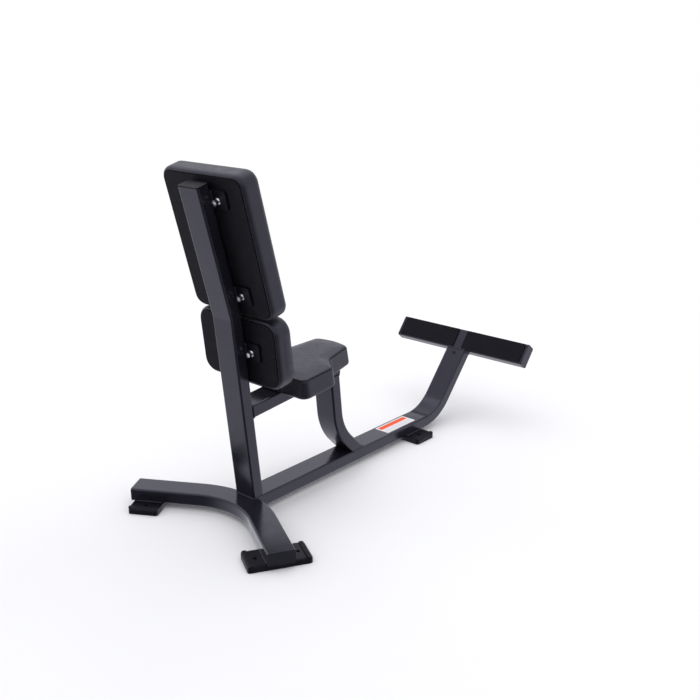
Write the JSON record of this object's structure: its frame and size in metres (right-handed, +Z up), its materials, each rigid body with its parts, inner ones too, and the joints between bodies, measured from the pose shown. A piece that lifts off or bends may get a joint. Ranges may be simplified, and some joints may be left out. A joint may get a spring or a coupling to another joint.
{
  "type": "upright utility bench",
  "caption": "Fixed upright bench with a short seat, two stacked back pads on a leaning post, a spine rail and a raised inclined footrest bar on rubber feet.",
  "frame": {"origin": "on the floor, at the middle of the bench's outline in plan", "axes": "+Z up, +Y the way a seated user faces (toward the footrest), X across the bench; symmetric about X = 0"},
  "size_m": [0.7026, 1.4066, 1.0535],
  "materials": {
    "frame_paint": "satin black powder coat with a fine texture",
    "plate_paint": "satin black powder coat on plate steel",
    "upholstery": "matt black vinyl with a fine grain",
    "board_ply": "plywood with a stapled black backing cover",
    "grip_rubber": "matt black textured rubber",
    "foot_rubber": "moulded black rubber",
    "black_plastic": "matt black plastic",
    "zinc_steel": "bright zinc plate",
    "label_film": "printed film label with plain colour bands"
  },
  "bodies": {
    "root": {"rear_base_tube": "frame_paint", "base_end_cap_left": "frame_paint", "base_end_cap_right": "frame_paint", "upright_lower": "frame_paint", "upright_upper": "frame_paint", "upright_top_cap": "frame_paint", "spine_rail": "frame_paint", "footrest_stem": "frame_paint", "stem_plug": "black_plastic", "footrest_crossbar": "frame_paint", "crossbar_cap_left": "frame_paint", "crossbar_cap_right": "frame_paint", "grip_pad_left": "grip_rubber", "grip_pad_right": "grip_rubber", "info_label": "label_film", "seat_rail": "frame_paint", "seat_rail_cap": "frame_paint", "seat_post": "frame_paint", "seat_mount_plate": "frame_paint", "upper_pad_bracket_high": "frame_paint", "upper_pad_bracket_low": "frame_paint", "lumbar_pad_bracket": "frame_paint", "upper_pad_board": "board_ply", "upper_pad_cushion": "upholstery", "lumbar_pad_board": "board_ply", "lumbar_pad_cushion": "upholstery", "seat_board": "board_ply", "seat_cushion": "upholstery", "cap_screws": "zinc_steel", "flat_washers": "zinc_steel", "lock_washers": "zinc_steel", "tee_nuts": "zinc_steel", "foot_plate_front": "plate_paint", "foot_plate_rear_left": "plate_paint", "foot_plate_rear_right": "plate_paint", "rubber_foot_front": "foot_rubber", "rubber_foot_rear_left": "foot_rubber", "rubber_foot_rear_right": "foot_rubber"}
  },
  "joints": []
}
